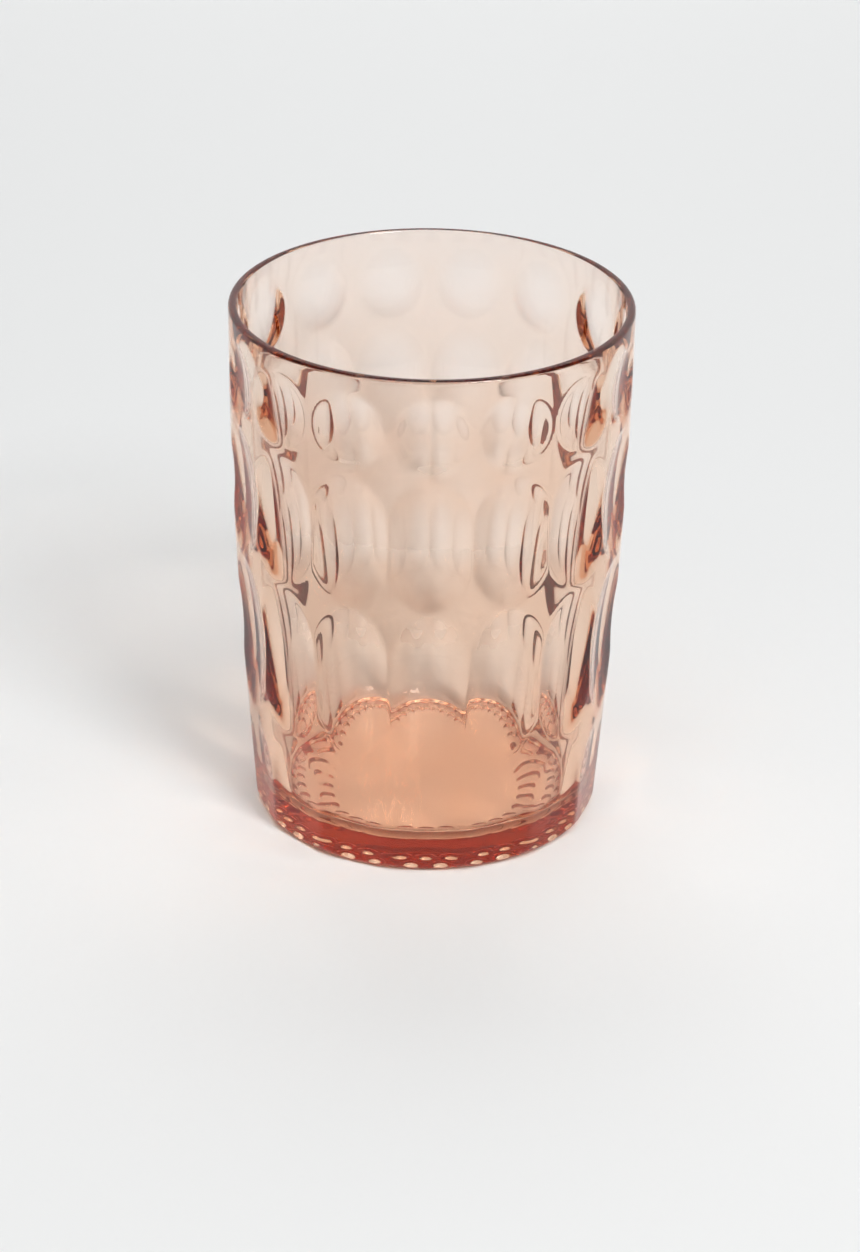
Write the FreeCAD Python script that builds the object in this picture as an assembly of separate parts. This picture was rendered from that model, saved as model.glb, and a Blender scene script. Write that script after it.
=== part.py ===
import FreeCAD, Part
import math
import os
from FreeCAD import Vector

# A clear moulded tumbler, in millimetres, standing on z = 0 with its axis on Z and one column of its pattern
# facing -Y. Hollow thumbprints are stacked in rows on the outside: round ones under the rim, two rows of ovals,
# and flutes with arched heads that run out at the foot. The inside is a plain tapered bore.

# Overall form: the side leans out straight along the flutes, then curves until it is upright at the rim.
tumbler_height = 110.0
rim_radius = 40.4
side_lean = 4.5
rim_wall = 1.7
floor_wall = 4.3
floor_thickness = 4.5
rim_outer_round = 0.8
rim_inner_round = 0.5
floor_round = 6.5
heel_round = 2.2

# Thumbprints, stacked from the rim down. All are hollowed to one radius across the wall, and the flutes below
# them are almost flat.
column_count = 15
hollow_radius = 40.0
flute_radius = 400.0
plain_band = 4.0
circle_height = 15.9
circle_depth = 1.3
circle_gap = 1.5
oval_height = 28.3
oval_depth = 2.05
oval_gap = 0.5
long_oval_height = 33.8
long_oval_depth = 2.0
long_oval_gap = 1.7
flute_head_height = 12.8
flute_depth = 0.7

# Underside: two staggered rings of small round dimples, set out as shares of the foot, that nearly touch
dimple_count = 30
outer_ring_share = 0.85
inner_ring_share = 0.7
dimple_spread_share = 0.95
dimple_depth = 0.7

# Level ring on which the wall meets the base, above the round at the edge of the floor
seat_height = 13.0

# How far each cutting tool reaches past what it cuts
overrun = 3.0

origin = Vector(0, 0, 0)
x_axis = Vector(1, 0, 0)
z_axis = Vector(0, 0, 1)
full_turn = 360.0
half_turn = 180.0
quarter_turn = 90.0

circle_top = tumbler_height - plain_band
oval_top = circle_top - circle_height - circle_gap
long_oval_top = oval_top - oval_height - oval_gap
flute_top = long_oval_top - long_oval_height - long_oval_gap

straight_height = flute_top + long_oval_gap / 2
lean_angle = math.radians(side_lean)
curve_radius = (tumbler_height - straight_height) / math.sin(lean_angle)
curve_foot_radius = rim_radius - curve_radius * (1 - math.cos(lean_angle))


def side_at(height):
    if height < straight_height:
        return curve_foot_radius - (straight_height - height) * math.tan(lean_angle)
    drop = tumbler_height - height
    return rim_radius - curve_radius + math.sqrt(curve_radius ** 2 - drop ** 2)


def side_point(height):
    return Vector(side_at(height), 0, height)


def circle_edges(shape, radius, height):
    near = Part.Precision.confusion()
    circles = [edge for edge in shape.Edges if isinstance(edge.Curve, Part.Circle)]
    level = [edge for edge in circles if abs(edge.Curve.Center.z - height) < near]
    return [edge for edge in level if abs(edge.Curve.Radius - radius) < near]


def tumbler_blank():
    curve_middle = (straight_height + tumbler_height) / 2
    rim_inside = Vector(rim_radius - rim_wall, 0, tumbler_height)
    floor_radius = side_at(floor_thickness) - floor_wall
    floor_edge = Vector(floor_radius, 0, floor_thickness)
    floor_centre = Vector(0, 0, floor_thickness)
    outline = Part.Wire([
        Part.LineSegment(origin, side_point(0)).toShape(),
        Part.LineSegment(side_point(0), side_point(straight_height)).toShape(),
        Part.Arc(side_point(straight_height), side_point(curve_middle), side_point(tumbler_height)).toShape(),
        Part.LineSegment(side_point(tumbler_height), rim_inside).toShape(),
        Part.LineSegment(rim_inside, floor_edge).toShape(),
        Part.LineSegment(floor_edge, floor_centre).toShape(),
        Part.LineSegment(floor_centre, origin).toShape(),
    ])
    blank = Part.Face(outline).revolve(origin, z_axis, full_turn)
    rounds = [
        (rim_outer_round, rim_radius, tumbler_height),
        (rim_inner_round, rim_inside.x, tumbler_height),
        (floor_round, floor_radius, floor_thickness),
        (heel_round, side_at(0), 0),
    ]
    for size, radius, height in rounds:
        blank = blank.makeFillet(size, circle_edges(blank, radius, height))
    return blank


def wheel_section(radius, rim, depth, side):
    # Half section of a grinding wheel with a rounded rim, and the middle of its axis. The axis lies along X,
    # and the rim stands in past the origin by the depth.
    reach = math.sqrt(2 * depth / (1 / side + 1 / rim)) + overrun
    axis_y = depth - radius
    shoulder_y = depth - rim + math.sqrt(rim ** 2 - reach ** 2)
    section = Part.Wire([
        Part.Arc(Vector(-reach, shoulder_y, 0), Vector(0, depth, 0), Vector(reach, shoulder_y, 0)).toShape(),
        Part.LineSegment(Vector(reach, shoulder_y, 0), Vector(reach, axis_y, 0)).toShape(),
        Part.LineSegment(Vector(reach, axis_y, 0), Vector(-reach, axis_y, 0)).toShape(),
        Part.LineSegment(Vector(-reach, axis_y, 0), Vector(-reach, shoulder_y, 0)).toShape(),
    ])
    return Part.Face(section), Vector(0, axis_y, 0)


def set_on_side(tool, low, high, touch):
    # Leans a tool made at the origin along the side between two heights, and moves it to the front at the touch.
    lean = math.degrees(math.atan2(side_at(high) - side_at(low), high - low))
    placed = tool.copy()
    placed.rotate(origin, x_axis, lean)
    placed.translate(Vector(0, -touch.x, touch.z))
    return placed


def thumbprint_tool(top, height, depth):
    # The wheel passes through the side at the top and the foot of the hollow.
    foot = top - height
    chord = side_point(top) - side_point(foot)
    middle = (side_point(top) + side_point(foot)) / 2
    bulge = (side_at(middle.z) - middle.x) * chord.z / chord.Length
    sink = depth - bulge
    radius = ((chord.Length / 2) ** 2 + sink ** 2) / (2 * sink)
    section, hub = wheel_section(radius, hollow_radius, sink, middle.x)
    section.rotate(hub, x_axis, -quarter_turn)
    return set_on_side(section.revolve(hub, x_axis, half_turn), foot, top, middle)


def flute_tool():
    # A straight shaft from below the foot, carried on upwards by the wheel that makes the head.
    spring = flute_top - flute_head_height
    rise = (side_point(flute_top) - side_point(spring)).Length
    radius = (rise ** 2 + flute_depth ** 2) / (2 * flute_depth)
    section, hub = wheel_section(radius, flute_radius, flute_depth, side_at(spring))
    head = section.revolve(hub, x_axis, quarter_turn)
    shaft = section.extrude(Vector(0, 0, -spring - overrun))
    return set_on_side(head.fuse(shaft), spring, flute_top, side_point(spring))


def column_tools():
    return [
        thumbprint_tool(circle_top, circle_height, circle_depth),
        thumbprint_tool(oval_top, oval_height, oval_depth),
        thumbprint_tool(long_oval_top, long_oval_height, long_oval_depth),
        flute_tool(),
    ]


def ring_of(tool, count, start=0):
    turned = [tool.copy() for index in range(count)]
    for index, copy in enumerate(turned):
        copy.rotate(origin, z_axis, start + index * full_turn / count)
    return turned


def cut_columns(blank):
    body = blank
    for tool in column_tools():
        body = body.cut(ring_of(tool, column_count))
    return body


def dimple_tools():
    outer_ring = outer_ring_share * side_at(0)
    inner_ring = inner_ring_share * side_at(0)
    dimple_radius = dimple_spread_share * math.pi * inner_ring / dimple_count
    ball_radius = (dimple_radius ** 2 + dimple_depth ** 2) / (2 * dimple_depth)
    ball_height = dimple_depth - ball_radius
    half_step = full_turn / dimple_count / 2
    outer_ball = Part.makeSphere(ball_radius, Vector(0, -outer_ring, ball_height))
    inner_ball = Part.makeSphere(ball_radius, Vector(0, -inner_ring, ball_height))
    return ring_of(outer_ball, dimple_count, half_step) + ring_of(inner_ball, dimple_count)


def split_at_seat(body):
    below = Part.makeCylinder(rim_radius + overrun, seat_height + overrun, Vector(0, 0, -overrun))
    return body.cut(below), body.common(below)


def save(shape, name):
    solid = shape.Solids[0]
    print(name, "solids", len(shape.Solids), "valid", solid.isValid(), "volume", round(solid.Volume, 1))
    solid.exportStep("parts/" + name + ".step")


def main():
    os.makedirs("parts", exist_ok=True)
    wall, base = split_at_seat(cut_columns(tumbler_blank()))
    save(wall, "wall")
    save(base.cut(dimple_tools()), "base")


main()
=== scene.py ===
import bpy
import math
import numpy as np
from mathutils import Matrix, Vector


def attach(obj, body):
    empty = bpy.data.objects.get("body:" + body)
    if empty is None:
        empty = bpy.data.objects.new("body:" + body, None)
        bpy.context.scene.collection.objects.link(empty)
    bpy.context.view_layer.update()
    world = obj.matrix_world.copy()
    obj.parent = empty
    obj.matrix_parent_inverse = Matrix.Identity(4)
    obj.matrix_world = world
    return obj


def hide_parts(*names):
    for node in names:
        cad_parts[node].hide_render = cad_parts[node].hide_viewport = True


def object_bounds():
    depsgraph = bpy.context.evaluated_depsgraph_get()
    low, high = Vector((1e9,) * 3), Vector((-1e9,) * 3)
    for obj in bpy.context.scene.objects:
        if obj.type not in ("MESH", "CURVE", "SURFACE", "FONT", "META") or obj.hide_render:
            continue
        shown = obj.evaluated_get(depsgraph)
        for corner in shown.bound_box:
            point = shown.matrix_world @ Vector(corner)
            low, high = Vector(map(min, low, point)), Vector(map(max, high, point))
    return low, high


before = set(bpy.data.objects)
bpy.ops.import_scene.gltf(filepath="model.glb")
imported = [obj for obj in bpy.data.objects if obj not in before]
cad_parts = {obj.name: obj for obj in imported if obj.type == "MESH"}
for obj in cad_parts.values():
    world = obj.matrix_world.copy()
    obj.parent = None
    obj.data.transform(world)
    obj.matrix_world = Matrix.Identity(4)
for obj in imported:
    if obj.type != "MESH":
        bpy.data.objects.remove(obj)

mm = 0.001
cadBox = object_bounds()
scene = bpy.context.scene
print("frame loaded:", sorted(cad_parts))


def linearColour(hexValue):
    parts = [int(hexValue[i:i + 2], 16) / 255 for i in (1, 3, 5)]
    return tuple(c / 12.92 if c <= 0.04045 else ((c + 0.055) / 1.055) ** 2.4 for c in parts) + (1.0,)


def addNode(tree, kind, values=None, links=None):
    # values: input name -> constant; links: input name -> another node's output
    node = tree.nodes.new(kind)
    for name, value in (values or {}).items():
        node.inputs[name].default_value = value
    for name, output in (links or {}).items():
        tree.links.new(output, node.inputs[name])
    return node


def newMaterial(name):
    material = bpy.data.materials.new(name)
    material.use_nodes = True
    material.node_tree.nodes.clear()
    return material, material.node_tree


# The tumbler, in millimetres, with its foot at zero
tumbler = {
    "columns": 15,
    "sideLean": 4.5,          # degrees, beside the straight flutes
    "rimWall": 1.7,
    "floorWall": 4.3,         # wall beside the floor
    "floorThickness": 4.5,
    "floorRound": 6.5,
    "rimOuterRound": 0.8,
    "rimInnerRound": 0.5,
    "heelRound": 2.2,
    # rows of hollows from the rim down: gap above, height, depth and how hollow each is across, per mm
    "circle": {"gap": 4.0, "height": 15.9, "depth": 1.3, "across": 0.025},
    "oval": {"gap": 1.5, "height": 28.3, "depth": 2.05, "across": 0.025},
    "longOval": {"gap": 0.5, "height": 33.8, "depth": 2.0, "across": 0.025},
    "flute": {"gap": 1.7, "headHeight": 12.8, "depth": 0.7, "across": 0.0025},
    "hollowReach": 0.29,      # radians to either side that a hollow is followed
    "wheelReach": 0.9,        # share of the wheel's radius that it is followed up and down
    "settleSteps": 8,         # steps in which a point settles on a hollow
    "edgeSoftness": 0.08,     # how far moulded edges melt into each other
    "dimpleCount": 30,
    "outerDimpleRing": 29.82,
    "innerDimpleRing": 24.56,
    "dimpleRadius": 2.44,
    "dimpleDepth": 0.7,
    "dimpleSoftness": 0.05,
    "dimpleMargin": 1.0,      # plain strip inside the inner ring
    # how finely it is meshed
    "columnSteps": 32,
    "floorShares": (0.03, 0.2, 0.45, 0.7, 0.88),
    "floorRoundSteps": 14,
    "boreSteps": 8,
    "rimInnerSteps": 5,
    "rimOuterSteps": 7,
    "wallRows": 134,
    "heelRows": 8,
    "undersideRows": 24,
    "footShares": (0.75, 0.45, 0.2, 0.03),
}
t = tumbler                   # short, for the formulas below
height = (cadBox[1][2] - cadBox[0][2]) / mm
rimRadius = (cadBox[1][0] - cadBox[0][0]) / mm / 2

circleTop = height - t["circle"]["gap"]
ovalTop = circleTop - t["circle"]["height"] - t["oval"]["gap"]
longOvalTop = ovalTop - t["oval"]["height"] - t["longOval"]["gap"]
fluteTop = longOvalTop - t["longOval"]["height"] - t["flute"]["gap"]
straightHeight = fluteTop + t["flute"]["gap"] / 2
leanAngle = math.radians(t["sideLean"])
curveRadius = (height - straightHeight) / math.sin(leanAngle)
curveFoot = rimRadius - curveRadius * (1 - math.cos(leanAngle))


def sideRadius(z):
    # straight beside the flutes, then one long arc that ends upright at the rim
    z = np.asarray(z, float)
    straight = curveFoot - (straightHeight - z) * math.tan(leanAngle)
    curved = rimRadius - curveRadius + np.sqrt(curveRadius ** 2 - (height - z) ** 2)
    return np.where(z < straightHeight, straight, curved)


def heelRadius(z):
    below = np.clip(t["heelRound"] - z, 0, t["heelRound"])
    return sideRadius(z) - t["heelRound"] + np.sqrt(t["heelRound"] ** 2 - below ** 2)


def hollowSurface(turn, z, low, high, row, shaft=False):
    # distance from the axis to the hollow that a round-rimmed wheel leaves between two heights
    lowR, highR = float(sideRadius(low)), float(sideRadius(high))
    chord = math.hypot(highR - lowR, high - low)
    if shaft:
        touchR, touchZ, half, sink = lowR, low, chord, row["depth"]
    else:
        touchR, touchZ, half = (lowR + highR) / 2, (low + high) / 2, chord / 2
        sink = row["depth"] - (float(sideRadius(touchZ)) - touchR) * (high - low) / chord
    lean = math.atan2(highR - lowR, high - low)
    wheel = (half ** 2 + sink ** 2) / (2 * sink)
    missed = np.abs(turn) > t["hollowReach"]
    turn = np.clip(turn, -t["hollowReach"], t["hollowReach"])
    r = sideRadius(z)
    for step in range(t["settleSteps"]):
        out = r * np.cos(turn) - touchR
        up = z - touchZ
        along = out * math.sin(lean) + up * math.cos(lean)
        away = out * math.cos(lean) - up * math.sin(lean)
        if shaft:
            along = np.maximum(along, 0)
        reach = wheel - row["across"] / 2 * (r * np.sin(turn)) ** 2
        surface = wheel - sink - np.sqrt(np.maximum(reach ** 2 - along ** 2, 1e-9))
        r = r - (away - surface)
    missed = missed | (np.abs(along) > t["wheelReach"] * wheel)
    return np.where(missed, 2 * rimRadius, r)    # well outside, where there is no hollow


def softMin(values, softness):
    stacked = np.stack(values)
    least = stacked.min(0)
    return least - softness * np.log(np.exp((least - stacked) / softness).sum(0))


def outsideRadius(turn, z):
    # the innermost of the plain side and the hollows of this column and its neighbours
    step = 2 * math.pi / t["columns"]
    surfaces = [heelRadius(z)]
    for near in (turn - step, turn, turn + step):
        surfaces += [
            hollowSurface(near, z, circleTop - t["circle"]["height"], circleTop, t["circle"]),
            hollowSurface(near, z, ovalTop - t["oval"]["height"], ovalTop, t["oval"]),
            hollowSurface(near, z, longOvalTop - t["longOval"]["height"], longOvalTop, t["longOval"]),
            hollowSurface(near, z, fluteTop - t["flute"]["headHeight"], fluteTop, t["flute"], shaft=True),
        ]
    return softMin(surfaces, t["edgeSoftness"])


def undersideHeight(turn, r):
    # dimples, as heights above the standing plane
    ball = (t["dimpleRadius"] ** 2 + t["dimpleDepth"] ** 2) / (2 * t["dimpleDepth"])
    step = 2 * math.pi / t["dimpleCount"]
    caps = [np.zeros_like(r)]
    for ring, start in ((t["outerDimpleRing"], step / 2), (t["innerDimpleRing"], 0)):
        nearest = (turn - start + step / 2) % step - step / 2
        apart = np.sqrt(np.maximum(r ** 2 + ring ** 2 - 2 * r * ring * np.cos(nearest), 0))
        caps.append(t["dimpleDepth"] - ball + np.sqrt(np.maximum(ball ** 2 - apart ** 2, 0)))
    return np.maximum(-softMin([-c for c in caps], t["dimpleSoftness"]), 0)


def arcPoints(centre, radius, start, end, count):
    angles = np.radians(np.linspace(start, end, count))
    return [(centre[0] + radius * math.cos(a), centre[1] + radius * math.sin(a)) for a in angles]


def tumblerRings():
    # each ring holds the radius and height of one column's steps, from the floor's middle up the bore,
    # over the rim, down the outside and back under the foot
    steps = t["columnSteps"]
    turn = (np.arange(steps) / steps - 0.5) * 2 * math.pi / t["columns"]
    even = np.ones(steps)
    rimInside = rimRadius - t["rimWall"]
    floorRadius = float(sideRadius(t["floorThickness"])) - t["floorWall"]
    boreLean = math.atan2(rimInside - floorRadius, height - t["floorThickness"])
    boreDegrees = math.degrees(boreLean)
    rings = []

    def plain(points):
        rings.extend((r * even, z * even) for r, z in points)

    # floor, then the round into the bore
    floorRound = t["floorRound"]
    centreZ = t["floorThickness"] + floorRound
    centreR = floorRadius + floorRound * math.tan(boreLean) - floorRound / math.cos(boreLean)
    plain((centreR * share, t["floorThickness"]) for share in t["floorShares"])
    plain(arcPoints((centreR, centreZ), floorRound, -90, -boreDegrees, t["floorRoundSteps"]))
    # bore, up to the rounds of the rim
    inRound, outRound = t["rimInnerRound"], t["rimOuterRound"]
    rimR = rimInside - inRound * math.tan(boreLean) + inRound / math.cos(boreLean)
    rimZ = height - inRound
    lowR, lowZ = rings[-1][0][0], rings[-1][1][0]
    topR, topZ = rimR - inRound * math.cos(boreLean), rimZ + inRound * math.sin(boreLean)
    shares = np.linspace(0, 1, t["boreSteps"])[1:-1]
    plain((lowR + (topR - lowR) * share, lowZ + (topZ - lowZ) * share) for share in shares)
    plain(arcPoints((rimR, rimZ), inRound, 180 - boreDegrees, 90, t["rimInnerSteps"]))
    plain(arcPoints((rimRadius - outRound, height - outRound), outRound, 90, 0, t["rimOuterSteps"]))
    # outside, down to the heel and round it
    levels = np.linspace(height - outRound, t["heelRound"], t["wallRows"])[1:].tolist()
    heelTurns = np.radians(np.linspace(0, 90, t["heelRows"]))[1:]
    levels += (t["heelRound"] * (1 - np.sin(heelTurns))).tolist()
    for z in levels:
        rings.append((outsideRadius(turn, z * even), z * even))
    # underside
    edge = rings[-1][0]
    inner = t["innerDimpleRing"] - t["dimpleRadius"] - t["dimpleMargin"]
    for share in np.linspace(0, 1, t["undersideRows"])[1:]:
        r = edge + (inner - edge) * share
        rings.append((r, undersideHeight(turn, r)))
    plain((inner * share, 0) for share in t["footShares"])
    return turn, rings


def buildTumbler():
    turn, rings = tumblerRings()
    columns, steps = t["columns"], t["columnSteps"]
    around = columns * steps
    angle = (turn[None, :] + np.arange(columns)[:, None] * 2 * math.pi / columns).ravel()
    points = []
    for r, z in rings:
        r, z = np.tile(r, columns), np.tile(z, columns)
        points.append(np.stack([r * np.sin(angle), -r * np.cos(angle), z], -1))
    poles = [[0, 0, t["floorThickness"]], [0, 0, 0]]
    points = np.concatenate(points + [poles]) * mm
    count = len(rings)
    here = np.arange(around)
    there = (here + 1) % around
    faces = []
    for k in range(count - 1):
        a, b = k * around, (k + 1) * around
        faces += np.stack([a + here, b + here, b + there, a + there], -1).tolist()
    floorPole, footPole = count * around, count * around + 1
    last = (count - 1) * around
    faces += [[floorPole, int(i), int(j)] for i, j in zip(here, there)]
    faces += [[footPole, last + int(j), last + int(i)] for i, j in zip(here, there)]
    mesh = bpy.data.meshes.new("tumbler")
    mesh.from_pydata(points.tolist(), [], faces)
    mesh.validate()
    mesh.update()
    mesh.polygons.foreach_set("use_smooth", [True] * len(mesh.polygons))
    piece = bpy.data.objects.new("tumbler_body", mesh)
    scene.collection.objects.link(piece)
    print("tumbler:", len(mesh.vertices), "points,", len(mesh.polygons), "faces")
    return piece


# Moulded acrylic, tinted rose: polished on every side, so it shows by what it bends and mirrors.
# Thin walls stay pale peach and the base goes red, because the tint is in the depth of the material.
acrylic = {
    "ior": 1.49,
    "roughness": 0.012,
    "tint": "#F1BE80",        # what it lets through
    "tintDensity": 103.0,     # per metre
    "rippleSize": 9.0,        # mm, slow sink marks from moulding
    "rippleHeight": 0.004,    # mm
}


def acrylicMaterial():
    material, tree = newMaterial("moulded_rose_acrylic")
    place = addNode(tree, "ShaderNodeTexCoord")
    ripple = addNode(tree, "ShaderNodeTexNoise", {"Scale": 1 / (acrylic["rippleSize"] * mm), "Detail": 1.0},
                     {"Vector": place.outputs["Object"]})
    bump = addNode(tree, "ShaderNodeBump", {"Strength": 1.0, "Distance": acrylic["rippleHeight"] * mm},
                   {"Height": ripple.outputs["Fac"]})
    surface = addNode(tree, "ShaderNodeBsdfPrincipled", {
        "Base Color": (1, 1, 1, 1), "Transmission Weight": 1.0,
        "IOR": acrylic["ior"], "Roughness": acrylic["roughness"],
    }, {"Normal": bump.outputs["Normal"]})
    depth = addNode(tree, "ShaderNodeVolumeAbsorption", {
        "Color": linearColour(acrylic["tint"]), "Density": acrylic["tintDensity"]})
    addNode(tree, "ShaderNodeOutputMaterial", links={
        "Surface": surface.outputs["BSDF"], "Volume": depth.outputs["Volume"]})
    return material


body = buildTumbler()
body.data.materials.append(acrylicMaterial())
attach(body, "root")
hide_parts("wall", "base")

# Stage, in metres: a pale floor that curves up a little at the back, and a white card close behind the
# tumbler, in place of the wall in the photograph. The card shows only through the plastic and in its gloss.
stage = {
    "floorPaint": "#EBECEC",
    "cardPaint": "#FCFCFC",
    "paintRoughness": 0.9,
    "drop": 0.0002,           # gap of air under the foot
    "halfWidth": 2.2,
    "front": -2.2,
    "bend": 0.6,              # where the floor starts to curve up
    "bendRadius": 0.15,
    "bendSteps": 17,
    "top": 0.17,
    "cardPlace": 0.095,
    "cardTop": 0.4,
}


def stagePiece(name, profile, colour):
    points = [(x, y, z) for x in (-stage["halfWidth"], stage["halfWidth"]) for y, z in profile]
    n = len(profile)
    mesh = bpy.data.meshes.new(name)
    mesh.from_pydata(points, [], [(i, i + n, i + n + 1, i + 1) for i in range(n - 1)])
    mesh.polygons.foreach_set("use_smooth", [True] * len(mesh.polygons))
    material, tree = newMaterial(name + "_matt_paint")
    paint = addNode(tree, "ShaderNodeBsdfPrincipled", {
        "Base Color": linearColour(colour), "Roughness": stage["paintRoughness"]})
    addNode(tree, "ShaderNodeOutputMaterial", links={"Surface": paint.outputs["BSDF"]})
    mesh.materials.append(material)
    piece = bpy.data.objects.new(name, mesh)
    scene.collection.objects.link(piece)
    return piece


floorLine = [(stage["front"], -stage["drop"])]
for a in np.linspace(0, math.pi / 2, stage["bendSteps"]):
    floorLine.append((stage["bend"] + stage["bendRadius"] * math.sin(a),
                      stage["bendRadius"] * (1 - math.cos(a)) - stage["drop"]))
floorLine.append((floorLine[-1][0], stage["top"]))
stagePiece("studio_floor", floorLine, stage["floorPaint"])
cardLine = [(stage["cardPlace"], 0), (stage["cardPlace"], stage["cardTop"])]
card = stagePiece("studio_card", cardLine, stage["cardPaint"])
card.visible_camera = False
card.visible_diffuse = False
card.visible_shadow = False
print("stage set")

# Light: a dim room with soft boxes at the front right, above, and over the back of the floor. The tinted
# shadow from the first falls on the card and shows up the hollows.
light = {
    "roomColour": "#FFFFFF",
    "roomStrength": 0.12,
    "boxes": {
        "key": {"power": 12.2, "size": 0.45, "place": (0.6, -1.0, 1.15), "aim": (0, 0.1, 0.05)},
        "top": {"power": 9.0, "size": 1.2, "place": (0.0, -0.45, 1.3), "aim": (0, 0.1, 0.05)},
        "back": {"power": 4.4, "size": 0.8, "place": (0.0, 0.75, 0.9), "aim": (0, 0.6, 0)},
    },
}
world = bpy.data.worlds.new("studio")
world.use_nodes = True
world.node_tree.nodes.clear()
glow = addNode(world.node_tree, "ShaderNodeBackground", {
    "Color": linearColour(light["roomColour"]), "Strength": light["roomStrength"]})
addNode(world.node_tree, "ShaderNodeOutputWorld", links={"Surface": glow.outputs["Background"]})
scene.world = world
for name, box in light["boxes"].items():
    lamp = bpy.data.lights.new(name, "AREA")
    lamp.shape = "SQUARE"
    lamp.size = box["size"]
    lamp.energy = box["power"]
    softBox = bpy.data.objects.new(name, lamp)
    softBox.location = box["place"]
    softBox.rotation_euler = (Vector(box["aim"]) - softBox.location).to_track_quat("-Z", "Y").to_euler()
    scene.collection.objects.link(softBox)
print("light set:", sorted(light["boxes"]))

# Camera, from the ellipses of the rim and the foot in the photograph
view = {
    "distance": 883.35, "aimHeight": 38.14, "sideShift": 0.558,   # mm
    "pitch": 26.56, "roll": 0.861, "turn": -0.7,                  # degrees
    "focal": 5.0,                                                 # in frame widths
    "sensorWidth": 36.0,                                          # mm
    "clipStart": 0.01,                                            # metres
}
pitch = math.radians(view["pitch"])
lens = bpy.data.cameras.new("camera")
lens.sensor_fit = "HORIZONTAL"
lens.sensor_width = view["sensorWidth"]
lens.lens = view["focal"] * view["sensorWidth"]
lens.clip_start = view["clipStart"]
camera = bpy.data.objects.new("camera", lens)
spot = Vector((view["sideShift"], -view["distance"] * math.cos(pitch),
               view["aimHeight"] + view["distance"] * math.sin(pitch))) * mm
camera.matrix_world = (Matrix.Rotation(math.radians(view["turn"]), 4, "Z") @ Matrix.Translation(spot)
                       @ Matrix.Rotation(math.pi / 2 - pitch, 4, "X")
                       @ Matrix.Rotation(math.radians(view["roll"]), 4, "Z"))
scene.collection.objects.link(camera)
scene.camera = camera

# Clear ware takes many bounces, and unclamped light keeps the tinted glow that it throws on the floor
scene.view_settings.view_transform = "Standard"
scene.cycles.max_bounces = 40
scene.cycles.transmission_bounces = 40
scene.cycles.glossy_bounces = 16
scene.cycles.blur_glossy = 0.0
scene.cycles.sample_clamp_indirect = 0.0
print("camera set")
